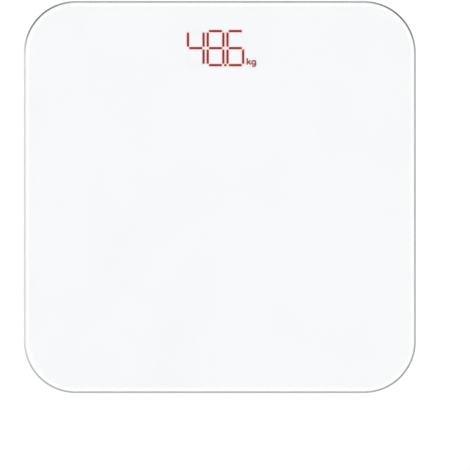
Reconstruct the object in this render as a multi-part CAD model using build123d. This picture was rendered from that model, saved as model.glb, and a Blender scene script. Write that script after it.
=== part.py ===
"""Digital bathroom scale: a glass platform bonded to a moulded tray that stands on four load cells.

Millimetres. The origin is on the floor under the middle of the platform, +Z is up, +Y points to the
display end and +X to the right of a person who stands on the glass and reads the display.
"""
from build123d import *
import math
import os

# Glass platform
platform_width = 280.0
platform_depth = 280.0
corner_radius = 37.0
glass_thickness = 5.0
glass_edge_round = 1.2

# Backing film and bonding tape
film_thickness = 0.2
print_margin = 3.6
tape_thickness = 0.8
tape_width = 5.5
tape_setback = 0.8

# Base tray
ground_clearance = 5.0
tray_depth = 12.0
tray_margin = 6.0
tray_floor = 2.0
tray_wall = 2.0
tray_draft = 15.0
tray_bottom_round = 3.0
rim_overhang = 7.3
rim_thickness = 1.8
rib_thickness = 1.2
front_rib_reach = 48.0
middle_rib_setback = 12.0
long_rib_gap = 9.0
clip_height = 1.6
clip_thickness = 1.2
clip_length = 3.0
clip_gap = 0.3

# Feet
foot_inset = 42.0
foot_radius = 20.0
foot_gap = 0.8
foot_flange_reach = 2.0
foot_flange_height = 1.3
foot_flange_lift = 0.3
foot_skirt_wall = 1.8
foot_plate = 1.6
foot_bottom_chamfer = 0.9
foot_boss_radius = 4.5
foot_pin_radius = 2.0
foot_pin_length = 1.2
foot_rib_count = 4
foot_rib_thickness = 1.2
foot_rib_height = 3.2
collar_wall = 1.5
collar_height = 3.0
pad_thickness = 2.0
pad_seat = 0.8
pad_rim = 2.7
pad_gap = 0.3
pad_groove_radius = 8.0
pad_groove_width = 2.4
pad_groove_depth = 0.6
pad_edge_chamfer = 0.5

# Load cells
cell_size = 32.0
cell_corner = 4.0
cell_thickness = 2.0
cell_drop = 3.6
cell_band = 3.0
cell_window_corner = 2.5
cell_pad_width = 18.0
cell_pad_length = 12.0
cell_neck_width = 10.0
cell_hole_gap = 0.2
gauge_width = 6.4
gauge_length = 4.4
gauge_thickness = 0.15
cover_margin = 1.2
cover_height = 1.3

# Sensor brackets
bracket_wall = 2.85
bracket_gap = 0.15
bracket_corner = 6.0
bracket_roof = 1.2
bracket_lip_reach = 0.9
bracket_lip_height = 1.0
bracket_lip_length = 9.0
wire_slot_margin = 0.8
wire_slot_height = 1.9

# Load cell wires
wire_width = 3.2
wire_height = 1.1
wire_bend = 12.0
wire_exit = 17.0
wire_lane = 12.0

# Main board
board_thickness = 1.6
board_depth = 42.0
board_wall_gap = 1.0
board_side_gap = 6.0
board_corner = 1.5
boss_radius = 3.0
boss_floor = 0.8
screw_inset = 4.0
screw_radius = 1.1
screw_gap = 0.05
screw_hole_gap = 0.25
screw_head_radius = 2.1
screw_head_height = 1.4

# Plugs and headers
header_lead_in = 2.1
header_pitch = 12.0
header_width = 8.0
header_depth = 6.0
header_wall = 0.7
plug_gap = 0.15
plug_stickout = 2.5
battery_header_width = 6.0

# Display
display_height = 5.2
display_edge = 0.9
display_shift = -3.05
display_margin = 1.6
digit_pitch = 14.14
digit_width = 11.17
digit_height = 24.35
bar_width = 1.6
bar_end_gap = 0.25
bar_side_gap = 0.12
bar_tall = 4.0
bar_gap = 0.05
point_size = 1.6
point_offset = 7.05
unit_lens_gap = 1.6
unit_lens_width = 7.8
unit_lens_height = 7.0
unit_lens_drop = 10.3

# Chips under the board
chip_dome_radius = 6.0
chip_dome_height = 1.2
chip_dome_spot = 0.30
charger_length = 5.0
charger_width = 4.0
charger_height = 1.3
charger_leg = 1.0
charger_leg_width = 0.45
charger_leg_pitch = 1.27
charger_spot = 0.16
passive_length = 2.0
passive_width = 1.25
passive_height = 0.8
passive_pitch = 3.6
passive_count = 5
passive_spot = 0.42

# Charging socket
socket_width = 8.94
socket_height = 3.26
socket_length = 7.35
socket_shell = 0.3
socket_round = 1.5
socket_back = 1.6
socket_overhang = 0.8
socket_gap = 0.7
socket_ear_reach = 1.7
socket_ear_length = 1.5
socket_ear_thickness = 0.3
socket_notch_gap = 0.2
tongue_width = 6.7
tongue_thickness = 0.7
tongue_setback = 0.9
port_width = 12.6
port_height = 6.6
port_corner = 2.0

# Unit button and its switch
switch_size = 6.0
switch_height = 1.4
switch_inset_x = 29.0
switch_inset_y = 18.0
switch_bore = 1.6
switch_bore_depth = 1.0
plunger_gap = 0.1
plunger_drop = 0.5
plunger_room = 0.55
button_radius = 4.0
button_gap = 0.2
button_flange_reach = 1.2
button_flange_height = 0.7
button_recess = 0.1
button_chamfer = 0.5
button_dish_radius = 7.0
button_dish_depth = 0.6
button_ring_height = 0.9
button_ring_wall = 1.0

# Battery
battery_width = 50.0
battery_length = 34.0
battery_thickness = 6.0
battery_round = 2.4
battery_setback = 30.0
battery_guard_length = 4.0
battery_guard_inset = 1.0
battery_pad_margin = 3.0
cradle_gap = 0.5
cradle_wall = 1.2
cradle_height = 5.5
lead_width = 2.3
lead_height = 1.2
lead_cover = 0.35
lead_shift = 14.0
lead_bend = 8.0
lead_straight = 10.0

# Heights of the stack, from the floor up
tray_bottom_z = ground_clearance
tray_floor_z = tray_bottom_z + tray_floor
tray_rim_z = tray_bottom_z + tray_depth
film_z = tray_rim_z + tape_thickness
glass_z = film_z + film_thickness
cell_top_z = film_z - cell_drop
cell_bottom_z = cell_top_z - cell_thickness
wire_z = cell_top_z + wire_height / 2
board_top_z = film_z - display_height
board_bottom_z = board_top_z - board_thickness
foot_bottom_z = pad_thickness - pad_seat
foot_plate_z = pad_thickness + foot_plate
foot_flange_z = tray_floor_z + foot_flange_lift
foot_top_z = foot_flange_z + foot_flange_height

# Plan positions
half_width = platform_width / 2
half_depth = platform_depth / 2
foot_x = half_width - foot_inset
foot_y = half_depth - foot_inset
draft_run = math.tan(math.radians(tray_draft))
wall_run = tray_wall / math.cos(math.radians(tray_draft))
bracket_half = cell_size / 2 + bracket_gap + bracket_wall
back_wall_y = half_depth - tray_margin - rim_overhang - (tray_rim_z - board_bottom_z) * draft_run - wall_run
board_back = back_wall_y - board_wall_gap
board_front = board_back - board_depth
board_right = foot_x - bracket_half - board_side_gap
board_left = -board_right
screw_left = board_left + screw_inset
screw_right = board_right - screw_inset
screw_front = board_front + screw_inset
screw_back = board_back - screw_inset
socket_x = screw_left + screw_head_radius + socket_gap + socket_ear_reach + socket_width / 2
socket_z = board_top_z - board_thickness / 2
socket_mouth = board_back + socket_overhang
header_height = 2 * (wire_z - board_top_z)
plug_front = board_front - plug_stickout
run_back = foot_y - bracket_half - wire_exit
run_front = run_back - wire_lane
long_rib_x = foot_x - bracket_half - long_rib_gap
header_reach = long_rib_x - header_lead_in - wire_bend
switch_x = board_right - switch_inset_x
switch_y = board_back - switch_inset_y
bar_length = digit_height / 2 - bar_width - 2 * bar_end_gap
bar_cross_length = digit_width - bar_width - 2 * bar_side_gap
display_depth = digit_height + bar_width + 2 * display_margin
display_y = board_back - display_edge - display_depth / 2
display_left = display_shift - digit_pitch - digit_width / 2 - bar_width / 2 - display_margin
unit_lens_left = display_shift + digit_pitch + digit_width / 2 + bar_width / 2 + unit_lens_gap
unit_lens_x = unit_lens_left + unit_lens_width / 2
unit_lens_y = display_y - unit_lens_drop
display_right = unit_lens_left + unit_lens_width + display_margin
battery_back = board_front - battery_setback
battery_top_z = wire_z + lead_height / 2 + lead_cover
battery_bottom_z = battery_top_z - battery_thickness
battery_end = battery_back - battery_guard_length
battery_front = battery_end - battery_length

CORNERS = {
    "front_left": (-1, -1),
    "front_right": (1, -1),
    "back_left": (-1, 1),
    "back_right": (1, 1),
}
CROSS_RIBS = (-front_rib_reach, battery_front - middle_rib_setback)
READING = ("bcfg", "abcdefg", "acdefg")


def column(radius, bottom, top, x=0.0, y=0.0):
    """A round column between two heights."""
    return Pos(x, y, bottom) * extrude(Circle(radius), top - bottom)


def block(x0, x1, y0, y1, z0, z1):
    """A square-edged block between three pairs of limits."""
    return Pos((x0 + x1) / 2, (y0 + y1) / 2, (z0 + z1) / 2) * Box(x1 - x0, y1 - y0, z1 - z0)


def plate(width, depth, radius, bottom, top, x=0.0, y=0.0):
    """A round-cornered plate between two heights."""
    return Pos(x, y, bottom) * extrude(RectangleRounded(width, depth, radius), top - bottom)


def outline_plate(inset, bottom, top):
    """A plate with the platform's outline, moved inwards by an inset."""
    width = platform_width - 2 * inset
    depth = platform_depth - 2 * inset
    return plate(width, depth, corner_radius - inset, bottom, top)


def at_foot(corner):
    """Place of a foot, turned so that its own +Y faces the middle of the platform."""
    side, end = CORNERS[corner]
    turn = 180 if end > 0 else 0
    return Pos(side * foot_x, end * foot_y, 0) * Rot(0, 0, turn)


def glass_platform():
    """Tempered glass plate with a pencil-polished edge all round."""
    slab = outline_plate(0, glass_z, glass_z + glass_thickness)
    rims = slab.edges().group_by(Axis.Z)
    return fillet(rims[0] + rims[-1], glass_edge_round)


def bar_places():
    """Each display bar as its digit number, bar letter, centre and plan size."""
    half = digit_height / 2
    side = digit_width / 2
    level = {"a": half, "g": 0.0, "d": -half}
    upright = {
        "f": (-side, half / 2),
        "b": (side, half / 2),
        "e": (-side, -half / 2),
        "c": (side, -half / 2),
    }
    for number in range(len(READING)):
        middle = display_shift + (number - 1) * digit_pitch
        for letter, rise in level.items():
            yield number, letter, middle, display_y + rise, bar_cross_length, bar_width
        for letter, (run, rise) in upright.items():
            yield number, letter, middle + run, display_y + rise, bar_width, bar_length


def bar_shape(x, y, width, depth, bottom, top, gap=0.0):
    """One light bar, or with a gap the pocket that holds it."""
    half = width / 2 + gap
    reach = depth / 2 + gap
    return block(x - half, x + half, y - reach, y + reach, bottom, top)


def display_bars(lit, bottom, gap=0.0):
    """The bars that the reading lights, or the ones that it leaves dark."""
    shapes = []
    for number, letter, x, y, width, depth in bar_places():
        if (letter in READING[number]) == lit:
            shapes.append(bar_shape(x, y, width, depth, bottom, glass_z, gap))
    if lit:
        point_x = display_shift + point_offset
        point_y = display_y - digit_height / 2
        shapes.append(bar_shape(point_x, point_y, point_size, point_size, bottom, glass_z, gap))
    return shapes


def unit_lens(bottom, gap=0.0):
    """Light pipe for the unit mark beside the digits."""
    return bar_shape(unit_lens_x, unit_lens_y, unit_lens_width, unit_lens_height, bottom, glass_z, gap)


def display_pockets(bottom):
    """Every pocket that the light bars and the unit lens need."""
    pockets = display_bars(True, bottom, bar_gap) + display_bars(False, bottom, bar_gap)
    return pockets + [unit_lens(bottom, bar_gap)]


def backing_film():
    """White film printed on the underside of the glass, with a slot for every light bar."""
    return outline_plate(print_margin, film_z, glass_z) - display_pockets(film_z)


def bonding_tape():
    """Foam tape ring that holds the glass on the tray rim."""
    inset = tray_margin + tape_setback
    return outline_plate(inset, tray_rim_z, film_z) - outline_plate(inset + tape_width, tray_rim_z, film_z)


def basin(bottom, top, inset=0.0):
    """Drafted tray body between two heights, moved inwards by an inset."""
    back = tray_margin + rim_overhang + (tray_rim_z - bottom) * draft_run + inset
    outline = RectangleRounded(platform_width - 2 * back, platform_depth - 2 * back, corner_radius - back)
    return Pos(0, 0, bottom) * extrude(outline, top - bottom, taper=-tray_draft)


def tray_ribs():
    """Stiffening ribs that also carry the load cell wires at their height."""
    half_rib = rib_thickness / 2
    low = tray_floor_z
    high = cell_top_z
    ribs = [
        block(-half_width, half_width, rib_y - half_rib, rib_y + half_rib, low, high)
        for rib_y in CROSS_RIBS
    ]
    ribs.append(block(-long_rib_x, long_rib_x, -foot_y - half_rib, -foot_y + half_rib, low, high))
    for side in (-1, 1):
        x = side * long_rib_x
        ribs.append(block(x - half_rib, x + half_rib, -half_depth, run_back + wire_bend, low, high))
    return ribs[0].fuse(*ribs[1:]) & basin(tray_bottom_z + tray_floor / 2, high, wall_run / 2)


def wire_clips():
    """Pairs of posts that keep the wires in place where they cross a rib."""
    reach = wire_width / 2 + clip_gap
    half_rib = rib_thickness / 2
    posts = []
    for side in (-1, 1):
        for rib_y in CROSS_RIBS:
            for hand in (-1, 1):
                inner = side * foot_x + hand * reach
                outer = inner + hand * clip_thickness
                posts.append(
                    block(
                        min(inner, outer), max(inner, outer),
                        rib_y - half_rib, rib_y + half_rib,
                        cell_top_z - clip_length, cell_top_z + clip_height,
                    )
                )
        for lane in (run_back, run_front):
            for hand in (-1, 1):
                inner = lane + hand * reach
                outer = inner + hand * clip_thickness
                x = side * long_rib_x
                posts.append(
                    block(
                        x - half_rib, x + half_rib,
                        min(inner, outer), max(inner, outer),
                        cell_top_z - clip_length, cell_top_z + clip_height,
                    )
                )
    return posts


def battery_cradle():
    """Low walls round three sides of the battery, open where its leads come out."""
    inner = battery_width / 2 + cradle_gap
    outer = inner + cradle_wall
    front = battery_front - cradle_gap
    top = tray_floor_z + cradle_height
    wall = block(-outer, outer, front - cradle_wall, battery_end, tray_floor_z, top)
    return wall - block(-inner, inner, front, battery_end, tray_floor_z, top)


def screw_places():
    """Plan positions of the board screws."""
    for x in (screw_left, screw_right):
        for y in (screw_front, screw_back):
            yield x, y


def base_tray():
    """Moulded tray with foot collars, ribs, bosses, battery cradle, charging port and button guide."""
    shell = basin(tray_bottom_z, tray_rim_z)
    shell = fillet(shell.edges().group_by(Axis.Z)[0], tray_bottom_round)
    shell += outline_plate(tray_margin, tray_rim_z - rim_thickness, tray_rim_z)
    shell -= basin(tray_floor_z, tray_rim_z + tape_thickness, wall_run)
    shell += tray_ribs()
    shell += wire_clips()
    shell += battery_cradle()

    collar_inner = foot_radius + foot_flange_reach + foot_gap
    hole = foot_radius + foot_gap
    for side, end in CORNERS.values():
        x = side * foot_x
        y = end * foot_y
        shell += column(collar_inner + collar_wall, tray_floor_z, tray_floor_z + collar_height, x, y)
        shell -= column(collar_inner, tray_floor_z, tray_floor_z + collar_height, x, y)
        shell -= column(hole, tray_bottom_z, tray_floor_z, x, y)

    for x, y in screw_places():
        shell += column(boss_radius, tray_floor_z, board_bottom_z, x, y)
        shell -= column(screw_radius + screw_gap, tray_bottom_z + boss_floor, board_bottom_z, x, y)

    port_outline = Plane.XZ * RectangleRounded(port_width, port_height, port_corner)
    port = extrude(port_outline, -2 * (rim_overhang + wall_run))
    shell -= Pos(socket_x, board_back, socket_z) * port

    guide = button_radius + button_flange_reach + button_gap
    ring_top = tray_floor_z + button_ring_height
    shell += column(guide + button_ring_wall, tray_floor_z, ring_top, switch_x, switch_y)
    shell -= column(guide, tray_floor_z, ring_top, switch_x, switch_y)
    dish = Cone(button_dish_radius, button_dish_radius - button_dish_depth, button_dish_depth)
    shell -= Pos(switch_x, switch_y, tray_bottom_z + button_dish_depth / 2) * dish
    shell -= column(button_radius + button_gap, tray_bottom_z, tray_floor_z, switch_x, switch_y)
    return shell


def sensor_bracket():
    """Moulded holder that is bonded under the glass and grips the frame of a load cell."""
    size = 2 * bracket_half
    pocket = cell_size + 2 * bracket_gap
    lip_z = cell_bottom_z - bracket_lip_height
    window = cell_size - 2 * cell_band
    body = plate(size, size, bracket_corner, lip_z, film_z)
    body -= plate(pocket, pocket, cell_corner + bracket_gap, lip_z, cell_top_z)
    body -= plate(window, window, cell_window_corner, cell_top_z, film_z - bracket_roof)
    slot_half = wire_width / 2 + wire_slot_margin
    body -= block(-slot_half, slot_half, window / 2 - wire_slot_margin, bracket_half,
                  cell_top_z, cell_top_z + wire_slot_height)
    lip_outline = Polyline(
        (pocket / 2, 0), (pocket / 2 - bracket_lip_reach, bracket_lip_height),
        (pocket / 2, bracket_lip_height), close=True,
    )
    lip = extrude(Plane.XZ * make_face(lip_outline), bracket_lip_length / 2, both=True)
    for turn in (0, 180):
        body += Rot(0, 0, turn) * Pos(0, 0, lip_z) * lip
    return body


def load_cell():
    """Steel plate with a closed frame and a sprung tongue that reaches in from one side."""
    window = cell_size - 2 * cell_band
    blank = plate(cell_size, cell_size, cell_corner, cell_bottom_z, cell_top_z)
    blank -= plate(window, window, cell_window_corner, cell_bottom_z, cell_top_z)
    pad_half = cell_pad_width / 2
    pad_reach = cell_pad_length / 2
    tongue = block(-pad_half, pad_half, -pad_reach, pad_reach, cell_bottom_z, cell_top_z)
    neck_half = cell_neck_width / 2
    tongue += block(-neck_half, neck_half, 0, window / 2 + cell_band / 2, cell_bottom_z, cell_top_z)
    tongue -= column(foot_pin_radius + cell_hole_gap, cell_bottom_z, cell_top_z)
    return blank + tongue


def gauge_y():
    """Distance of the strain gauge from the foot centre, half-way along the neck."""
    return (cell_pad_length / 2 + cell_size / 2 - cell_band) / 2


def strain_gauge():
    """Foil gauge bonded across the neck of a load cell."""
    half = gauge_width / 2
    reach = gauge_length / 2
    top = cell_top_z + gauge_thickness
    return block(-half, half, gauge_y() - reach, gauge_y() + reach, cell_top_z, top)


def gauge_cover():
    """Silicone blob that seals a strain gauge and the ends of its wires."""
    width = gauge_width + 2 * cover_margin
    length = gauge_length + 2 * cover_margin
    blob = plate(width, length, cover_margin, cell_top_z, cell_top_z + cover_height, 0, gauge_y())
    return blob - strain_gauge()


def header_x(corner):
    """Plan position of the board header that takes the wires of a load cell."""
    side, end = CORNERS[corner]
    lane = 0 if end > 0 else header_pitch
    return side * (header_reach - lane)


def flat_ribbon(points, bend, width, height):
    """Side-by-side wires moulded as one flat ribbon along a level route."""
    path = FilletPolyline(*points, radius=bend)
    start = Plane(origin=path @ 0, x_dir=(1, 0, 0), z_dir=path % 0)
    return sweep(start * Rectangle(width, height), path)


def cell_wires(corner):
    """Three-core ribbon from a load cell to its plug."""
    side, end = CORNERS[corner]
    start = end * foot_y - end * (gauge_y() + gauge_length / 2 + cover_margin)
    lane = run_back if end > 0 else run_front
    stop = header_x(corner)
    points = [
        (side * foot_x, start, wire_z),
        (side * foot_x, lane, wire_z),
        (stop, lane, wire_z),
        (stop, plug_front, wire_z),
    ]
    return flat_ribbon(points, wire_bend, wire_width, wire_height)


def header(x, width):
    """Board header that is open to the front."""
    half = width / 2
    rise = header_height / 2 - header_wall
    body = block(x - half, x + half, board_front, board_front + header_depth,
                 board_top_z, board_top_z + header_height)
    mouth = half - header_wall
    return body - block(x - mouth, x + mouth, board_front, board_front + header_depth - header_wall,
                        wire_z - rise, wire_z + rise)


def plug(x, width):
    """Wire plug seated to the end of its header."""
    half = width / 2 - header_wall - plug_gap
    rise = header_height / 2 - header_wall - plug_gap
    return block(x - half, x + half, plug_front, board_front + header_depth - header_wall,
                 wire_z - rise, wire_z + rise)


def main_board():
    """Circuit board with screw holes and a back-edge notch for the charging socket."""
    width = board_right - board_left
    board = plate(width, board_depth, board_corner, board_bottom_z, board_top_z,
                  (board_left + board_right) / 2, (board_front + board_back) / 2)
    for x, y in screw_places():
        board -= column(screw_radius + screw_hole_gap, board_bottom_z, board_top_z, x, y)
    notch = socket_width / 2 + socket_notch_gap
    notch_front = socket_mouth - socket_length - socket_notch_gap
    return board - block(socket_x - notch, socket_x + notch, notch_front, board_back,
                         board_bottom_z, board_top_z)


def board_screws():
    """Four self-tapping screws that hold the board on its bosses."""
    tip_z = tray_bottom_z + boss_floor
    screws = []
    for x, y in screw_places():
        shank = column(screw_radius, tip_z, board_top_z, x, y)
        head = column(screw_head_radius, board_top_z, board_top_z + screw_head_height, x, y)
        screws.append(shank + head)
    return screws


def display_block():
    """White reflector block with a pocket for every light bar."""
    back = display_y + display_depth / 2
    front = display_y - display_depth / 2
    body = block(display_left, display_right, front, back, board_top_z, film_z)
    return body - display_pockets(glass_z - bar_tall)


def measuring_chip():
    """Epoxy dome over the measuring chip on the underside of the board."""
    x = board_left + (board_right - board_left) * chip_dome_spot
    y = (board_front + board_back) / 2
    ball = (chip_dome_radius ** 2 + chip_dome_height ** 2) / (2 * chip_dome_height)
    dome = Pos(x, y, board_bottom_z + ball - chip_dome_height) * Sphere(ball)
    below = block(x - ball, x + ball, y - ball, y + ball, board_bottom_z - ball, board_bottom_z)
    return dome & below


def charger_chip():
    """Charging controller with two rows of legs, on the underside of the board."""
    x = board_left + (board_right - board_left) * charger_spot
    y = (board_front + board_back) / 2
    half = charger_length / 2
    bottom = board_bottom_z - charger_height
    chip = block(x - half, x + half, y - charger_width / 2, y + charger_width / 2, bottom, board_bottom_z)
    reach = charger_width / 2 + charger_leg
    leg_z = board_bottom_z - charger_leg_width
    for index in range(4):
        middle = x + (index - 1.5) * charger_leg_pitch
        chip += block(middle - charger_leg_width / 2, middle + charger_leg_width / 2,
                      y - reach, y + reach, leg_z, board_bottom_z)
    return chip


def board_passives():
    """Two rows of small resistors and capacitors on the underside of the board."""
    first = board_left + (board_right - board_left) * passive_spot
    pieces = []
    for row in (-1, 1):
        y = (board_front + board_back) / 2 + row * passive_pitch
        for index in range(passive_count):
            x = first + index * passive_pitch
            pieces.append(block(x - passive_length / 2, x + passive_length / 2,
                                y - passive_width / 2, y + passive_width / 2,
                                board_bottom_z - passive_height, board_bottom_z))
    return pieces


def socket_section(inset):
    """Outline of the charging socket shell, moved inwards by an inset."""
    width = socket_width - 2 * inset
    height = socket_height - 2 * inset
    return Plane.XZ * RectangleRounded(width, height, socket_round - inset)


def charging_socket():
    """Pressed steel shell of the charging socket, with ears that are soldered to the board."""
    shell = extrude(socket_section(0), socket_length)
    shell -= extrude(socket_section(socket_shell), socket_length)
    shell = Pos(socket_x, socket_mouth, socket_z) * shell
    side = socket_width / 2
    for hand in (-1, 1):
        inner = socket_x + hand * (side - 1.5 * socket_shell)
        outer = socket_x + hand * (side + socket_ear_reach)
        far = socket_mouth - socket_overhang - socket_ear_length
        shell += block(min(inner, outer), max(inner, outer), far - socket_ear_length, far,
                       board_top_z, board_top_z + socket_ear_thickness)
    return shell


def socket_tongue():
    """Moulded back of the charging socket with the thin tongue that carries its contacts."""
    core = extrude(socket_section(socket_shell), socket_back)
    core = Pos(socket_x, socket_mouth - socket_length + socket_back, socket_z) * core
    half = tongue_width / 2
    rise = tongue_thickness / 2
    tongue = block(socket_x - half, socket_x + half, socket_mouth - socket_length + socket_back / 2,
                   socket_mouth - tongue_setback, socket_z - rise, socket_z + rise)
    return core + tongue


def unit_switch():
    """Body of the small switch under the board, with a bore for its plunger."""
    half = switch_size / 2
    bottom = board_bottom_z - switch_height
    body = block(switch_x - half, switch_x + half, switch_y - half, switch_y + half, bottom, board_bottom_z)
    return body - column(switch_bore, bottom, bottom + switch_bore_depth, switch_x, switch_y)


def switch_plunger():
    """Plunger that slides up in the switch when the button is pressed."""
    bottom = board_bottom_z - switch_height
    top = bottom + switch_bore_depth - plunger_room
    return column(switch_bore - plunger_gap, bottom - plunger_drop, top, switch_x, switch_y)


def unit_button():
    """Push button in the underside of the tray that changes the unit."""
    bottom = tray_bottom_z + button_recess
    flange_top = tray_floor_z + button_flange_height
    cap = column(button_radius, bottom, flange_top, switch_x, switch_y)
    cap = chamfer(cap.edges().group_by(Axis.Z)[0], button_chamfer)
    cap += column(button_radius + button_flange_reach, tray_floor_z, flange_top, switch_x, switch_y)
    post_top = board_bottom_z - switch_height - plunger_drop
    return cap + column(switch_bore - plunger_gap, tray_floor_z, post_top, switch_x, switch_y)


def battery_cell():
    """Flat rechargeable pouch cell."""
    middle_z = (battery_top_z + battery_bottom_z) / 2
    section = Plane.XZ * RectangleRounded(battery_width, battery_thickness, battery_round)
    return Pos(0, battery_end, middle_z) * extrude(section, battery_length)


def battery_guard():
    """Taped protection strip at the end of the battery where its leads come out."""
    half = battery_width / 2 - battery_guard_inset
    low = battery_bottom_z + battery_guard_inset
    return block(-half, half, battery_end, battery_back, low, battery_top_z)


def battery_pad():
    """Foam pad that beds the battery on the tray floor."""
    half = battery_width / 2 - battery_pad_margin
    return block(-half, half, battery_front + battery_pad_margin, battery_end - battery_pad_margin,
                 tray_floor_z, battery_bottom_z)


def battery_leads():
    """Pair of leads from the battery to its plug, with a bend of slack."""
    turn_in = battery_back + lead_straight
    turn_out = plug_front - lead_straight / 2
    points = [
        (lead_shift, battery_back, wire_z),
        (lead_shift, turn_in, wire_z),
        (0, turn_out, wire_z),
        (0, plug_front, wire_z),
    ]
    return flat_ribbon(points, lead_bend, lead_width, lead_height)


def foot_cap():
    """Moulded foot, kept in the tray by its flange, that presses on the load cell tongue."""
    skirt_inner = foot_radius - foot_skirt_wall
    cup = column(foot_radius, foot_bottom_z, foot_top_z)
    cup = chamfer(cup.edges().group_by(Axis.Z)[0], foot_bottom_chamfer)
    cup += column(foot_radius + foot_flange_reach, foot_flange_z, foot_top_z)
    cup -= column(skirt_inner, foot_plate_z, foot_top_z)
    cup -= column(foot_radius - pad_rim, foot_bottom_z, pad_thickness)
    half_rib = foot_rib_thickness / 2
    spoke = block(0, skirt_inner + foot_skirt_wall / 2, -half_rib, half_rib,
                  foot_plate_z, foot_plate_z + foot_rib_height)
    for index in range(foot_rib_count):
        cup += Rot(0, 0, 360 / foot_rib_count * index) * spoke
    cup += column(foot_boss_radius, foot_plate_z, cell_bottom_z)
    return cup + column(foot_pin_radius, cell_bottom_z, cell_bottom_z + foot_pin_length)


def foot_pad():
    """Soft pad with a ring groove, bonded into the foot."""
    radius = foot_radius - pad_rim - pad_gap
    pad = column(radius, 0, pad_thickness)
    pad = chamfer(pad.edges().group_by(Axis.Z)[0], pad_edge_chamfer)
    groove = column(pad_groove_radius + pad_groove_width, 0, pad_groove_depth)
    return pad - (groove - column(pad_groove_radius, 0, pad_groove_depth))


def as_solids(shapes):
    """A list of shapes as one group of separate solids."""
    return Compound(children=[solid for shape in shapes for solid in shape.solids()])


def build_nodes():
    """Every named piece of the scale."""
    nodes = {
        "glass_platform": glass_platform(),
        "backing_film": backing_film(),
        "bonding_tape": bonding_tape(),
        "base_tray": base_tray(),
        "main_board": main_board(),
        "board_screws": as_solids(board_screws()),
        "display_block": display_block(),
        "display_bars_lit": as_solids(display_bars(True, glass_z - bar_tall)),
        "display_bars_dark": as_solids(display_bars(False, glass_z - bar_tall)),
        "unit_lens": unit_lens(glass_z - bar_tall),
        "measuring_chip": measuring_chip(),
        "charger_chip": charger_chip(),
        "board_passives": as_solids(board_passives()),
        "charging_socket": charging_socket(),
        "socket_tongue": socket_tongue(),
        "unit_switch": unit_switch(),
        "switch_plunger": switch_plunger(),
        "unit_button": unit_button(),
        "battery_cell": battery_cell(),
        "battery_guard": battery_guard(),
        "battery_pad": battery_pad(),
        "battery_leads": battery_leads(),
        "battery_header": header(0, battery_header_width),
        "battery_plug": plug(0, battery_header_width),
        "cell_headers": as_solids([header(header_x(corner), header_width) for corner in CORNERS]),
        "cell_plugs": as_solids([plug(header_x(corner), header_width) for corner in CORNERS]),
        "strain_gauges": as_solids([at_foot(corner) * strain_gauge() for corner in CORNERS]),
        "gauge_covers": as_solids([at_foot(corner) * gauge_cover() for corner in CORNERS]),
    }
    for corner in CORNERS:
        place = at_foot(corner)
        nodes["sensor_bracket_" + corner] = place * sensor_bracket()
        nodes["load_cell_" + corner] = place * load_cell()
        nodes["cell_wires_" + corner] = cell_wires(corner)
        nodes["foot_cap_" + corner] = place * foot_cap()
        nodes["foot_pad_" + corner] = place * foot_pad()
    return nodes


os.makedirs("parts", exist_ok=True)
for name, shape in build_nodes().items():
    export_step(shape, "parts/" + name + ".step")
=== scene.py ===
"""Dresses the digital bathroom scale: glass, print, lit reading, tray, feet and the parts inside.

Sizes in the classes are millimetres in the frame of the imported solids, and Blender's are metres.
"""
import logging
import math
from dataclasses import dataclass, replace
from enum import Enum
from typing import Any, Iterable, Iterator, Sequence

import bmesh
import bpy
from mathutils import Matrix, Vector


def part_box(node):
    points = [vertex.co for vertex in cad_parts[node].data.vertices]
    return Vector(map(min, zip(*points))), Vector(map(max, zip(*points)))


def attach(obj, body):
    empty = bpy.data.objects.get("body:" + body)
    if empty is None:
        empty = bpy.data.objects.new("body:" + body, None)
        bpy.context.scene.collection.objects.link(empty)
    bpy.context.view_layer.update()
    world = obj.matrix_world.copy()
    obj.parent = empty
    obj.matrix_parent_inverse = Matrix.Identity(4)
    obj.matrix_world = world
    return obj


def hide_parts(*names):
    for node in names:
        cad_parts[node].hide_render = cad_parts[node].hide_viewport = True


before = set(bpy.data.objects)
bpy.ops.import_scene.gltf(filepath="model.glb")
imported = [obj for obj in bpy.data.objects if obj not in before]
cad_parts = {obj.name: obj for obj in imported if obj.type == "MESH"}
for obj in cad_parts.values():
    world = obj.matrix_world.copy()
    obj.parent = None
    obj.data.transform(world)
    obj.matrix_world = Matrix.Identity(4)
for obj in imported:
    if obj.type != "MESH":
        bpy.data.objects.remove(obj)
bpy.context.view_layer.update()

MM = 0.001
PLATFORM_CORNER = 37.0
FULL_TURN = 360.0
LOG = logging.getLogger("bathroom_scale")

Tone = tuple[float, float, float]
Place = tuple[float, float]
Point = tuple[float, float, float]
FlatBar = tuple[Place, Place]
Socket = bpy.types.NodeSocket
Material = bpy.types.Material
Mesh = bpy.types.Mesh
Shape = bmesh.types.BMesh

WHITE: Tone = (1.0, 1.0, 1.0)
EVEN_RUN: Point = (1.0, 1.0, 1.0)

# The mix node repeats the names of its sockets, so those for colours go by number.
MIX_FIRST, MIX_SECOND, MIX_RESULT = 6, 7, 2


class Corner(Enum):
    """The four corners of the platform, by the ending of their nodes' names."""

    FRONT_LEFT = "front_left"
    FRONT_RIGHT = "front_right"
    BACK_LEFT = "back_left"
    BACK_RIGHT = "back_right"


class Ray(Enum):
    """Kinds of light path that a finish tells apart."""

    CAMERA = "Is Camera Ray"
    GLOSSY = "Is Glossy Ray"
    THROUGH = "Is Transmission Ray"
    SHADOW = "Is Shadow Ray"
    DIFFUSE = "Is Diffuse Ray"


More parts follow.
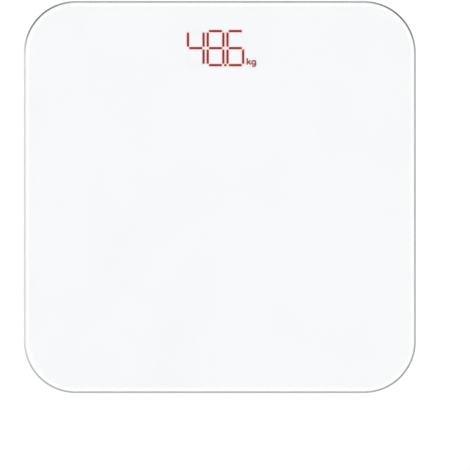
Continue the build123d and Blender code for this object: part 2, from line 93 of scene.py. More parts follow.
class Bar(Enum):
    """The seven bars of a digit: run and rise from its middle, in half widths and half heights."""

    TOP = (0.0, 1.0)
    MIDDLE = (0.0, 0.0)
    BOTTOM = (0.0, -1.0)
    UPPER_LEFT = (-1.0, 0.5)
    UPPER_RIGHT = (1.0, 0.5)
    LOWER_LEFT = (-1.0, -0.5)
    LOWER_RIGHT = (1.0, -0.5)

    @property
    def upright(self) -> bool:
        """Whether the bar stands on end."""
        return self.value[0] != 0.0


class NodeGraph:
    """A node tree that is laid out from empty."""

    def __init__(self, tree: bpy.types.NodeTree) -> None:
        """Empties the tree of a material or of the world."""
        self.tree = tree
        self.tree.nodes.clear()

    def add(self, kind: str, feeds: dict[str | int, Any] | None = None, **settings: Any) -> bpy.types.Node:
        """Adds a node.

        Args:
            kind: Blender's name of the node type.
            feeds: Inputs by name or number, each with an even value or a painted one.
            settings: Properties of the node and their values.

        Returns:
            The new node.
        """
        node = self.tree.nodes.new(kind)
        for key, value in settings.items():
            setattr(node, key, value)
        for key, value in (feeds or {}).items():
            socket = node.inputs[key]
            if isinstance(value, Socket):
                self.tree.links.new(value, socket)
            else:
                socket.default_value = (*value, 1.0) if socket.type == "RGBA" else value
        return node

    def math(self, operation: str, first: Socket, second: Socket | float) -> Socket:
        """Works out one value from two, of which the second may be even."""
        return self.add("ShaderNodeMath", {0: first, 1: second}, operation=operation).outputs[0]

    def split(self, place: Socket) -> tuple[Socket, Socket, Socket]:
        """Takes a place or a direction apart, along X, Y and Z."""
        node = self.add("ShaderNodeSeparateXYZ", {0: place})
        return node.outputs[0], node.outputs[1], node.outputs[2]

    def ray(self, kind: Ray) -> Socket:
        """One for rays of a kind, otherwise nought."""
        return self.add("ShaderNodeLightPath").outputs[kind.value]

    def seen(self) -> Socket:
        """One for rays that show a thing: straight, in a reflection or through glass."""
        direct = self.math("ADD", self.ray(Ray.CAMERA), self.ray(Ray.GLOSSY))
        return self.math("MINIMUM", self.math("ADD", direct, self.ray(Ray.THROUGH)), 1.0)

    def choose(self, share: Socket, first: Socket, second: Socket) -> Socket:
        """Mixes two shaders, by the share of the second one."""
        return self.add("ShaderNodeMixShader", {0: share, 1: first, 2: second}).outputs[0]


class ShaderGraph(NodeGraph):
    """The node tree of one material, with the few steps that the finishes share."""

    def __init__(self, name: str) -> None:
        """Starts the empty tree of a new material.

        Args:
            name: Name of the material.
        """
        self.material = bpy.data.materials.new(name)
        self.material.use_nodes = True
        super().__init__(self.material.node_tree)
        self.place: Socket = self.add("ShaderNodeTexCoord").outputs["Object"]

    def surface(self, shader: Socket) -> Material:
        """Shows a shader on the surface and hands over the finished material."""
        self.add("ShaderNodeOutputMaterial", {"Surface": shader})
        return self.material

    def principled(self, **values: Any) -> Socket:
        """Adds the main shader, with its values by socket name and underscores for spaces."""
        feeds = {key.replace("_", " "): value for key, value in values.items()}
        return self.add("ShaderNodeBsdfPrincipled", feeds).outputs[0]

    def gap_to(self, bar: FlatBar) -> Socket:
        """Measures how far a place lies outside a flat bar, seen from above.

        Args:
            bar: The bar.

        Returns:
            The gap in metres, nought on the bar.
        """
        (x, y), (width, depth) = bar
        any_height = 1.0
        nought = (0.0, 0.0, 0.0)
        steps = (("SUBTRACT", (x * MM, y * MM, 0.0)), ("ABSOLUTE", nought),
                 ("SUBTRACT", (width / 2 * MM, depth / 2 * MM, any_height)),
                 ("MAXIMUM", nought), ("LENGTH", nought))
        gap = self.place
        for operation, amount in steps:
            node = self.add("ShaderNodeVectorMath", {0: gap, 1: amount}, operation=operation)
            gap = node.outputs["Value" if operation == "LENGTH" else "Vector"]
        return gap

    def noise(self, size_mm: float, octaves: float, run: Point = EVEN_RUN) -> Socket:
        """Smooth noise.

        Args:
            size_mm: Size of its patches.
            octaves: Number of finer octaves.
            run: Factors along the axes, small along the run of a grain.

        Returns:
            A value from 0 to 1.
        """
        place = self.add("ShaderNodeMapping", {"Vector": self.place, "Scale": run}).outputs["Vector"]
        feeds = {"Vector": place, "Scale": 1.0 / (size_mm * MM), "Detail": octaves}
        return self.add("ShaderNodeTexNoise", feeds).outputs["Fac"]

    def cells(self, size_mm: float) -> Socket:
        """Distance to the nearest centre of round cells side by side, in cells."""
        feeds = {"Vector": self.place, "Scale": 1.0 / (size_mm * MM)}
        return self.add("ShaderNodeTexVoronoi", feeds).outputs["Distance"]

    def spread(self, value: Socket, low: float = 0.0, high: float = 1.0,
               first: float = 0.3, last: float = 0.7) -> Socket:
        """Maps a pattern to a range, low at its first value and below, high at its last and above."""
        feeds = {"Value": value, "From Min": first, "From Max": last, "To Min": low, "To Max": high}
        return self.add("ShaderNodeMapRange", feeds, interpolation_type="SMOOTHSTEP").outputs["Result"]

    def swing(self, value: Socket, middle: float, reach: float) -> Socket:
        """A value that a pattern moves to both sides of its middle."""
        return self.spread(value, middle - reach, middle + reach)

    def tint(self, share: Socket, first: Tone | Socket, second: Tone) -> Socket:
        """Paints a colour between two, by the share of the second one."""
        feeds = {0: share, MIX_FIRST: first, MIX_SECOND: second}
        return self.add("ShaderNodeMix", feeds, data_type="RGBA").outputs[MIX_RESULT]

    def bump(self, height: Socket, depth_mm: float) -> Socket:
        """Surface relief of a pattern, by the height of its full step."""
        return self.add("ShaderNodeBump", {"Height": height, "Distance": depth_mm * MM}).outputs["Normal"]

    def clear(self) -> Socket:
        """A shader that lets all light through."""
        return self.add("ShaderNodeBsdfTransparent").outputs[0]

    def lets_lamps_through(self, shader: Socket) -> Material:
        """Ends the tree of a piece that is open to shadow rays and to light that the print sends back."""
        inner = self.choose(self.ray(Ray.DIFFUSE), shader, self.clear())
        return self.surface(self.choose(self.ray(Ray.SHADOW), inner, self.clear()))


@dataclass(frozen=True)
class Finish:
    """Base of the finishes: a named material that is made once and shared."""

    name: str

    def material(self) -> Material:
        """The finish's material, made on first use."""
        known = bpy.data.materials.get(self.name)
        return known or self.paint(ShaderGraph(self.name))

    def paint(self, graph: ShaderGraph) -> Material:
        """Lays out the finish's nodes in the empty tree."""
        raise NotImplementedError


@dataclass(frozen=True)
class GrainedFinish(Finish):
    """Finish with broad patches in the colour, and a fine grain in the gloss and the relief."""

    tone: Tone
    shade: Tone
    roughness: float
    grain_mm: float
    grain_depth_mm: float
    patch_mm: float
    gloss_swing: float
    grain_octaves: float = 3.0
    patch_octaves: float = 3.0
    grain_run: Point = EVEN_RUN
    refraction: float = 1.5
    metal: float = 0.0
    sheen: float = 0.0

    def paint(self, graph: ShaderGraph) -> Material:
        """Paints the patches and the grain.

        Args:
            graph: The empty tree.

        Returns:
            The finished material.
        """
        patch = graph.noise(self.patch_mm, self.patch_octaves)
        grain = graph.noise(self.grain_mm, self.grain_octaves, self.grain_run)
        return graph.surface(graph.principled(
            Base_Color=graph.tint(graph.spread(patch), self.shade, self.tone),
            Roughness=graph.swing(grain, self.roughness, self.gloss_swing),
            Normal=graph.bump(grain, self.grain_depth_mm),
            Metallic=self.metal, Sheen_Weight=self.sheen, IOR=self.refraction))


@dataclass(frozen=True)
class MouldedPlastic(GrainedFinish):
    """Injection-moulded plastic with a fine spark-eroded grain and faint flow clouds."""

    roughness: float = 0.46
    grain_mm: float = 0.35
    grain_depth_mm: float = 0.012
    patch_mm: float = 38.0
    gloss_swing: float = 0.07
    grain_octaves: float = 2.0
    refraction: float = 1.52


@dataclass(frozen=True)
class SoftRubber(GrainedFinish):
    """Matt rubber or silicone with a powdery bloom in patches over fine pits."""

    roughness: float = 0.78
    grain_mm: float = 0.5
    grain_depth_mm: float = 0.03
    patch_mm: float = 6.0
    gloss_swing: float = 0.09
    patch_octaves: float = 4.0
    sheen: float = 0.15


@dataclass(frozen=True)
class RolledMetal(GrainedFinish):
    """Sheet metal with faint stains, and rolling marks along one axis."""

    roughness: float = 0.32
    grain_mm: float = 0.22
    grain_depth_mm: float = 0.006
    patch_mm: float = 9.0
    gloss_swing: float = 0.11
    grain_run: Point = (0.06, 1.0, 1.0)
    metal: float = 1.0


@dataclass(frozen=True)
class OpenFoam(Finish):
    """Foam with small open cells."""

    tone: Tone
    # Painted shade inside the open cells.
    pore_shade: Tone
    cell_mm: float = 0.6
    cell_depth_mm: float = 0.08
    pore_reach: float = 0.05
    wall_reach: float = 0.5
    roughness: float = 0.9

    def paint(self, graph: ShaderGraph) -> Material:
        """Paints pores in the relief, and darker in the colour as painted shade in the open cells.

        Args:
            graph: The empty tree.

        Returns:
            The finished material.
        """
        cell = graph.cells(self.cell_mm)
        # Darker towards the cell centres: painted shade in the pores.
        wall = graph.spread(cell, first=self.pore_reach, last=self.wall_reach)
        return graph.surface(graph.principled(
            Base_Color=graph.tint(wall, self.pore_shade, self.tone), Roughness=self.roughness,
            Normal=graph.bump(cell, self.cell_depth_mm)))


@dataclass(frozen=True)
class SolderMask(Finish):
    """Circuit board with covered copper tracks under a satin mask."""

    mask: Tone
    track: Tone
    pitch_mm: float = 2.4
    track_share: float = 0.06
    track_run: float = 3.2
    track_row: float = 0.5
    track_shift: float = 0.37
    track_rise_mm: float = 0.03
    roughness: float = 0.38

    def paint(self, graph: ShaderGraph) -> Material:
        """Paints tracks as the joints of a long brick pattern, raised a little.

        Args:
            graph: The empty tree.

        Returns:
            The finished material.
        """
        feeds = {"Vector": graph.place, "Scale": 1.0 / (self.pitch_mm * MM),
                 "Mortar Size": self.track_share, "Brick Width": self.track_run, "Row Height": self.track_row}
        track = graph.add("ShaderNodeTexBrick", feeds, offset=self.track_shift).outputs["Fac"]
        return graph.surface(graph.principled(
            Base_Color=graph.tint(track, self.mask, self.track), Roughness=self.roughness,
            Normal=graph.bump(track, self.track_rise_mm)))


@dataclass(frozen=True)
class BarTint:
    """Tint that is full on a set of flat bars and fades away round them."""

    bars: tuple[FlatBar, ...]
    tone: Tone
    reach_mm: float

    def over(self, colour: Socket, graph: ShaderGraph) -> Socket:
        """Tints a painted colour on the bars and next to them.

        Args:
            colour: The painted colour.
            graph: The tree that it belongs to.

        Returns:
            The tinted colour.
        """
        nearest, *others = (graph.gap_to(bar) for bar in self.bars)
        for gap in others:
            nearest = graph.math("MINIMUM", nearest, gap)
        share = graph.spread(nearest, 1.0, 0.0, 0.0, self.reach_mm * MM)
        return graph.tint(share, colour, self.tone)


@dataclass(frozen=True)
class PrintedFilm(Finish):
    """White print under the glass, even but for the faintest cloudiness."""

    tone: Tone
    cloud: Tone
    tint: BarTint | None = None
    cloud_mm: float = 55.0
    cloud_octaves: float = 2.0
    cloud_start: float = 0.25
    cloud_end: float = 0.6
    screen_mm: float = 0.3
    screen_octaves: float = 1.0
    shine: float = 0.2
    roughness: float = 0.68
    gloss_swing: float = 0.07

    def paint(self, graph: ShaderGraph) -> Material:
        """Paints broad clouds in the white and a very fine screen in the gloss.

        Args:
            graph: The empty tree.

        Returns:
            The finished material.
        """
        clouds = graph.noise(self.cloud_mm, self.cloud_octaves)
        patch = graph.spread(clouds, first=self.cloud_start, last=self.cloud_end)
        colour = graph.tint(patch, self.cloud, self.tone)
        # Where a tint is given, painted light: the pink of the reading's glow round the bars.
        if self.tint:
            colour = self.tint.over(colour, graph)
        screen = graph.noise(self.screen_mm, self.screen_octaves)
        gloss = graph.swing(screen, self.roughness, self.gloss_swing)
        return graph.surface(graph.principled(
            Base_Color=colour, Roughness=gloss, Specular_IOR_Level=self.shine))


@dataclass(frozen=True)
class LightPipe(Finish):
    """Tinted plastic of a display bar, with the glow of the lamp under it."""

    tone: Tone
    edge: Tone
    glow: float = 0.0
    tint: BarTint | None = None
    patch_mm: float = 5.0
    patch_octaves: float = 1.0
    roughness: float = 0.35
    shine: float = 0.05

    def paint(self, graph: ShaderGraph) -> Material:
        """Paints brighter and darker stretches, in the bar's own colour and in its glow.

        Args:
            graph: The empty tree.

        Returns:
            The finished material.
        """
        patch = graph.spread(graph.noise(self.patch_mm, self.patch_octaves))
        colour = graph.tint(patch, self.edge, self.tone)
        # On the lit bars a deeper core; on the unlit bars, painted light: the pink glow of the lit ones.
        if self.tint:
            colour = self.tint.over(colour, graph)
        return graph.surface(graph.principled(
            Base_Color=colour, Emission_Color=colour, Emission_Strength=self.glow,
            Roughness=self.roughness, Specular_IOR_Level=self.shine))


@dataclass(frozen=True)
class ClearGlass(Finish):
    """Tempered float glass that lets the lamps through to the print."""

    tone: Tone
    smudge: float = 0.03
    wipe_mm: float = 70.0
    wipe_octaves: float = 4.0
    wipe_start: float = 0.45
    wipe_end: float = 0.75
    wipe_run: Point = (0.5, 1.0, 1.0)
    mirror: Tone = (0.2, 0.2, 0.2)
    refraction: float = 1.5

    def paint(self, graph: ShaderGraph) -> Material:
        """Paints wipe marks in the gloss of the glass.

        Args:
            graph: The empty tree.

        Returns:
            The finished material.
        """
        wipe = graph.noise(self.wipe_mm, self.wipe_octaves, self.wipe_run)
        gloss = graph.spread(wipe, 0.0, self.smudge, self.wipe_start, self.wipe_end)
        return graph.lets_lamps_through(graph.principled(
            Base_Color=self.tone, Roughness=gloss, Transmission_Weight=1.0,
            IOR=self.refraction, Specular_Tint=self.mirror))


@dataclass(frozen=True)
class GroundEdge(Finish):
    """Pencil-ground edge of the glass, frosted grey, the grey partly its own and partly a painted reflection
    of darker surroundings.

    Light and shade are painted into its tones: palest along the left side, where the light comes from, deeper
    along the others, darker along the back edge and round the front corners, and deepest round the two back
    corners.
    """

    # Painted light and shade: tone of the lit left side, of the other sides, and of the shaded corners.
    left: Tone
    others: Tone
    corner: Tone
    reach_mm: float = 140.0
    left_light_fade_mm: float = 35.0
    # Where the painted shade of the corners starts and is full, and its shares at the front and along the
    # back.
    corner_shade_start_mm: float = 98.0
    corner_shade_full_mm: float = 126.0
    front_shade_share: float = 0.36
    back_shade_share: float = 0.30
    streak: float = 0.12
    streak_mm: float = 0.5
    streak_octaves: float = 3.0
    streak_run: Point = (0.15, 0.15, 1.0)
    streak_depth_mm: float = 0.01
    roughness: float = 0.4
    gloss_swing: float = 0.1
    polish: float = 0.25

    def corners(self, graph: ShaderGraph, across: Socket, along: Socket) -> Socket:
        """Finds where shade is painted: round the corners and along the back edge.

        Args:
            graph: The tree.
            across: Place along X.
            along: Place along Y.

        Returns:
            Share of the painted corner shade.
        """
        start, full = self.corner_shade_start_mm * MM, self.corner_shade_full_mm * MM
        off = graph.math("ABSOLUTE", across, 0.0)
        side = graph.spread(off, self.back_shade_share, 1.0, start, full)
        back = graph.spread(along, 0.0, 1.0, start, full)
        front = graph.spread(along, self.front_shade_share, 0.0, -full, -start)
        return graph.math("MULTIPLY", side, graph.math("ADD", back, front))

    def paint(self, graph: ShaderGraph) -> Material:
        """Paints grinding streaks along the edge over the painted light and shade of its sides.

        Args:
            graph: The empty tree.

        Returns:
            The finished material.
        """
        across, along, _ = graph.split(graph.place)
        streak = graph.noise(self.streak_mm, self.streak_octaves, self.streak_run)
        fade_end_mm = self.left_light_fade_mm - self.reach_mm
        turn = graph.spread(across, 0.0, 1.0, -self.reach_mm * MM, fade_end_mm * MM)
        turn = graph.math("ADD", turn, graph.swing(streak, 0.0, self.streak))
        # Painted light: palest on the left, where the light comes from.
        edge = graph.tint(turn, self.left, self.others)
        # Painted shade: darker round the corners and along the back edge.
        return graph.lets_lamps_through(graph.principled(
            Base_Color=graph.tint(self.corners(graph, across, along), edge, self.corner),
            Roughness=graph.swing(streak, self.roughness, self.gloss_swing),
            Normal=graph.bump(streak, self.streak_depth_mm), Coat_Weight=self.polish))


@dataclass(frozen=True)
class PaleFloor(Finish):
    """Plain pale studio floor that shows white and keeps a soft shadow.

    Part of its white is its own where it is seen, and the lamps give the rest. It is open to the dome's
    light and from below.
    """

    glow: float
    kept: float

    def paint(self, graph: ShaderGraph) -> Material:
        """Lays out what the floor shows to each kind of ray.

        Args:
            graph: The empty tree.

        Returns:
            The finished material.
        """
        lit = graph.add("ShaderNodeBsdfDiffuse", {"Color": (self.kept, self.kept, self.kept)})
        own = graph.add("ShaderNodeEmission", {"Strength": self.glow})
        both = graph.add("ShaderNodeAddShader", {0: lit.outputs[0], 1: own.outputs[0]}).outputs[0]
        white = graph.add("ShaderNodeEmission").outputs[0]
        clear = graph.clear()
        shown = graph.choose(graph.seen(), clear, both)
        shown = graph.choose(graph.ray(Ray.THROUGH), shown, white)
        below = graph.add("ShaderNodeNewGeometry").outputs["Backfacing"]
        return graph.surface(graph.choose(below, shown, clear))


class Shelf:
    """Every finish of the scale, by what it is made of."""

    GLASS = ClearGlass("tempered_glass", (0.985, 0.995, 0.992))
    # Glass edges with painted light and shade: tone of the lit left side, of the other sides, and of the
    # shaded corners.
    GLASS_ROUND = GroundEdge("ground_glass_round", (0.61, 0.605, 0.605), (0.46, 0.455, 0.455),
                             corner=(0.115, 0.115, 0.115))
    GLASS_SIDE = GroundEdge("polished_glass_side", (0.74, 0.80, 0.78), (0.72, 0.78, 0.76),
                            corner=(0.68, 0.75, 0.73))
    FILM = PrintedFilm("white_print", (0.932, 0.934, 0.944), (0.910, 0.916, 0.930))
    # The second tone is the painted shade in the pores.
    TAPE = OpenFoam("white_foam_tape", (0.80, 0.81, 0.82), (0.55, 0.56, 0.57), cell_mm=0.5)
    LIT = LightPipe("lit_bar", (0.58, 0.050, 0.060), (0.50, 0.042, 0.052), glow=0.4)
    UNIT = LightPipe("lit_unit_mark", (0.27, 0.050, 0.060), (0.23, 0.043, 0.052), glow=0.4)
    UNLIT = LightPipe("unlit_bar", (0.932, 0.934, 0.944), (0.922, 0.925, 0.936))
    REFLECTOR = MouldedPlastic("white_reflector", (0.86, 0.86, 0.86), (0.80, 0.80, 0.80), roughness=0.55)
    TRAY = MouldedPlastic("tray_plastic", (0.80, 0.81, 0.825), (0.765, 0.775, 0.79),
                          roughness=0.5, grain_mm=0.6, grain_depth_mm=0.035)
    FOOT = MouldedPlastic("foot_plastic", (0.78, 0.79, 0.80), (0.73, 0.74, 0.75),
                          roughness=0.48, grain_mm=0.5, grain_depth_mm=0.025)
    PAD = SoftRubber("pad_rubber", (0.42, 0.425, 0.435), (0.33, 0.335, 0.345))
    BUTTON = MouldedPlastic("button_plastic", (0.52, 0.53, 0.545), (0.47, 0.48, 0.495),
                            roughness=0.4, grain_mm=0.25)
    BRACKET = MouldedPlastic("bracket_plastic", (0.74, 0.75, 0.76), (0.68, 0.69, 0.70), roughness=0.5)
    STEEL = RolledMetal("stamped_steel", (0.62, 0.62, 0.61), (0.50, 0.50, 0.50))
    PLATED = RolledMetal("plated_steel", (0.74, 0.74, 0.72), (0.62, 0.62, 0.60), roughness=0.24)
    GOLD = RolledMetal("gold_contacts", (0.83, 0.62, 0.27), (0.70, 0.50, 0.20),
                       roughness=0.22, grain_run=(1.0, 0.06, 1.0))
    NYLON = MouldedPlastic("black_nylon", (0.028, 0.028, 0.030), (0.018, 0.018, 0.020),
                           roughness=0.42, grain_mm=0.3, grain_depth_mm=0.008)
    WHITE_NYLON = MouldedPlastic("white_nylon", (0.82, 0.80, 0.74), (0.76, 0.74, 0.68),
                                 roughness=0.44, grain_mm=0.3, grain_depth_mm=0.006)
    EPOXY = MouldedPlastic("black_epoxy", (0.022, 0.022, 0.024), (0.014, 0.014, 0.016),
                           roughness=0.3, grain_mm=1.2, grain_depth_mm=0.02)
    CERAMIC = MouldedPlastic("chip_ceramic", (0.34, 0.25, 0.17), (0.24, 0.17, 0.11),
                             roughness=0.6, grain_mm=0.4, grain_depth_mm=0.01, patch_mm=3.0)
    BOARD = SolderMask("solder_mask", (0.018, 0.14, 0.06), (0.035, 0.23, 0.095))
    POUCH = GrainedFinish("foil_pouch", (0.66, 0.67, 0.70), (0.54, 0.55, 0.58), roughness=0.37,
                          grain_mm=4.0, grain_depth_mm=0.12, patch_mm=4.0, gloss_swing=0.09,
                          grain_octaves=5.0, patch_octaves=5.0, metal=0.85)
    AMBER = MouldedPlastic("amber_tape", (0.60, 0.27, 0.03), (0.50, 0.21, 0.02),
                           roughness=0.3, grain_mm=0.8, grain_depth_mm=0.01, patch_mm=8.0)
    # The second tone is the painted shade in the pores.
    FOAM = OpenFoam("dark_foam", (0.16, 0.16, 0.17), (0.05, 0.05, 0.055))
    LEAD = MouldedPlastic("lead_cover", (0.48, 0.02, 0.02), (0.38, 0.014, 0.014),
                          roughness=0.4, grain_mm=0.3, grain_depth_mm=0.006, patch_mm=6.0)
    RIBBON = replace(LEAD, name="ribbon_cover", tone=(0.66, 0.66, 0.67), shade=(0.58, 0.58, 0.59),
                     roughness=0.42)
    GAUGE = RolledMetal("gauge_foil", (0.72, 0.42, 0.16), (0.58, 0.32, 0.11), roughness=0.35)
    SILICONE = SoftRubber("white_silicone", (0.86, 0.86, 0.85), (0.80, 0.80, 0.79), roughness=0.5)
    FLOOR = PaleFloor("studio_floor", glow=0.80, kept=0.22)


def in_mm(box: Sequence[Sequence[float]]) -> tuple[list[float], list[float]]:
    """The two corners of a box in millimetres."""
    low, high = ([value / MM for value in corner] for corner in box)
    return low, high


def on_circle(centre: Place, radius: float, turn: float) -> Place:
    """The place on a circle at an angle."""
    return centre[0] + radius * math.cos(turn), centre[1] + radius * math.sin(turn)


def rounded_ring(middle: Place, size: Place, radius: float, height: float, steps: int) -> list[Point]:
    """Points round a level, round-cornered rectangle.

    Args:
        middle: Its middle.
        size: Its sizes along X and Y.
        radius: Its corner radius.
        height: Its height.
        steps: Steps round each corner.

    Returns:
        The points, anticlockwise from the right-hand side of the back right corner.
    """
    points = []
    for quarter, (side, end) in enumerate(((1, 1), (-1, 1), (-1, -1), (1, -1))):
        for step in range(steps + 1):
            turn = math.pi / 2 * (quarter + step / steps)
            centre = (side * (size[0] / 2 - radius), end * (size[1] / 2 - radius))
            run, rise = on_circle(centre, radius, turn)
            points.append((middle[0] + run, middle[1] + rise, height))
    return points


def inset_rings(size: Place, corner: float, profile: Iterable[Place], steps: int) -> list[list[Point]]:
    """Rings of a round-cornered plate about the origin, by the inset and height of each."""
    return [rounded_ring((0.0, 0.0), (size[0] - 2 * inset, size[1] - 2 * inset),
                         corner - inset, height, steps) for inset, height in profile]


def circle_ring(place: Place, radius: float, height: float, steps: int) -> list[Point]:
    """Points round a level circle, anticlockwise."""
    turns = [math.tau * step / steps for step in range(steps)]
    return [(*on_circle(place, radius, turn), height) for turn in turns]


def heading(start: Place, end: Place) -> Place:
    """The direction from one place to another, of length one."""
    run, rise = end[0] - start[0], end[1] - start[1]
    return run / math.hypot(run, rise), rise / math.hypot(run, rise)


def softened(corners: Sequence[tuple[Place, float]], steps: int, hold: float,
             closed: bool = False) -> list[Place]:
    """Rounds the square corners of a profile.

    Args:
        corners: Points of the profile with the radius at each, nought at the ends of an open one.
        steps: Steps round each corner.
        hold: Width of the strip beside a round corner that keeps the flat next to it true.
        closed: Whether the profile goes back to its first point.

    Returns:
        The points of the rounded profile.
    """
    count = len(corners)
    points = []
    for number, (spot, radius) in enumerate(corners):
        if not closed and number in (0, count - 1):
            points.append(spot)
            continue
        come = heading(corners[number - 1][0], spot)
        leave = heading(spot, corners[(number + 1) % count][0])
        reach = radius + hold
        points.append((spot[0] - come[0] * reach, spot[1] - come[1] * reach))
        for step in range(steps + 1):
            back = 1 - math.sin(math.pi / 2 * step / steps)
            on = 1 - math.cos(math.pi / 2 * step / steps)
            points.append((spot[0] + radius * (leave[0] * on - come[0] * back),
                           spot[1] + radius * (leave[1] * on - come[1] * back)))
        points.append((spot[0] + leave[0] * reach, spot[1] + leave[1] * reach))
    return points


def loft_rings(rings: Sequence[Sequence[Point]], shape: Shape,
               closed: bool = False) -> list[bmesh.types.BMFace]:
    """Skins a row of rings with as many points each.

    Args:
        rings: The rings in millimetres, from the bottom up.
        shape: The shape that takes the faces.
        closed: Whether the last ring joins the first one, in place of two end faces.

    Returns:
        The faces between the rings.
    """
    rows = [[shape.verts.new([value * MM for value in point]) for point in ring] for ring in rings]
    pairs = list(zip(rows, rows[1:]))
    if closed:
        pairs.append((rows[-1], rows[0]))
    else:
        shape.faces.new(rows[0][::-1])
        shape.faces.new(rows[-1])
    sides = []
    for low, high in pairs:
        for i in range(len(low)):
            j = (i + 1) % len(low)
            sides.append(shape.faces.new((low[i], low[j], high[j], high[i])))
    shape.normal_update()
    return sides


def as_mesh(shape: Shape, name: str) -> Mesh:
    """Turns a finished shape into mesh data and frees it.

    Args:
        shape: The shape.
        name: Name of the mesh.

    Returns:
        The mesh data.
    """
    mesh = bpy.data.meshes.new(name)
    shape.to_mesh(mesh)
    shape.free()
    return mesh


def placed(name: str, data: bpy.types.ID) -> bpy.types.Object:
    """Makes an object and puts it in the scene.

    Args:
        name: Its name.
        data: Its mesh, lamp or camera.

    Returns:
        The object.
    """
    thing = bpy.data.objects.new(name, data)
    bpy.context.scene.collection.objects.link(thing)
    return thing


def united(shapes: Sequence[Shape], name: str) -> Mesh:
    """Joins overlapping closed shapes into one skin.

    Args:
        shapes: The shapes, which are freed.
        name: Name of the joined mesh.

    Returns:
        The mesh data.
    """
    parts = [placed(name, as_mesh(shape, name)) for shape in shapes]
    for part in parts[1:]:
        union = parts[0].modifiers.new(name, "BOOLEAN")
        union.operation = "UNION"
        union.solver = "EXACT"
        union.object = part
    joined = parts[0].evaluated_get(bpy.context.evaluated_depsgraph_get())
    mesh = bpy.data.meshes.new_from_object(joined)
    for part in parts:
        bpy.data.objects.remove(part)
    return mesh


class Assembly:
    """What every group of pieces can do: finish solids of the frame, or add a piece of its own."""

    def build(self) -> None:
        """Makes and finishes the group's pieces."""
        raise NotImplementedError

    def dress(self, finish: Finish, *nodes: str) -> None:
        """Gives solids of the frame a finish.

        Args:
            finish: The finish.
            nodes: Names of the solids' nodes.
        """
        for node in nodes:
            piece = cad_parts[node]
            if not piece.material_slots:
                piece.data.materials.append(None)
            for slot in piece.material_slots:
                slot.material = finish.material()
            LOG.info("%s: %s", node, finish.name)

    def add(self, name: str, mesh: Mesh, finishes: Sequence[Finish], slot: str,
            body: str = "platform", node: str | None = None) -> None:
        """Adds a piece of the scene to the object.

        Args:
            name: Name of the piece.
            mesh: Its mesh, in place in the frame.
            finishes: Its finishes, in the order of the mesh's material numbers.
            slot: Name of a record's material slot; not used.
            body: The body that it moves with.
            node: The solid that it stands for, if any.
        """
        piece = placed(name, mesh)
        for finish in finishes:
            mesh.materials.append(finish.material())
        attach(piece, body)
        if node:
            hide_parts(node)
        LOG.info("%s: %d faces, rides on %s", name, len(mesh.polygons), body)


@dataclass
class GlassTop(Assembly):
    """Glass platform with its pencil-ground edge."""

    corner: float = PLATFORM_CORNER
    edge_round: float = 1.2
    lift: float = 0.03
    corner_steps: int = 28
    edge_steps: int = 8
    side_tilt: float = 0.08

    def profile(self, bottom: float, top: float) -> Iterator[Place]:
        """Goes round the edge from the bottom face to the top face.

        Args:
            bottom: Height of the bottom face.
            top: Height of the top face.

        Yields:
            Inset and height of each step.
        """
        turns = [math.pi / 2 * step / self.edge_steps for step in range(self.edge_steps + 1)]
        for turn in turns:
            yield self.edge_round * (1 - math.sin(turn)), bottom + self.edge_round * (1 - math.cos(turn))
        for turn in turns:
            yield self.edge_round * (1 - math.cos(turn)), top - self.edge_round * (1 - math.sin(turn))

    def plate(self) -> Mesh:
        """Makes the plate, with clear faces and a ground edge.

        Returns:
            The mesh: faces clear, rounds ground, sides polished.
        """
        low, high = in_mm(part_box("glass_platform"))
        profile = self.profile(low[2] + self.lift, high[2])
        rings = inset_rings((high[0] - low[0], high[1] - low[1]), self.corner, profile, self.corner_steps)
        ground, polished = 1, 2
        shape = bmesh.new()
        for face in loft_rings(rings, shape):
            face.smooth = True
            face.material_index = ground if face.normal.z > self.side_tilt else polished
        return as_mesh(shape, "glass_plate")

    def build(self) -> None:
        """Puts the plate in the place of its solid."""
        finishes = (Shelf.GLASS, Shelf.GLASS_ROUND, Shelf.GLASS_SIDE)
        self.add("glass_plate", self.plate(), finishes, "clear_glass", node="glass_platform")


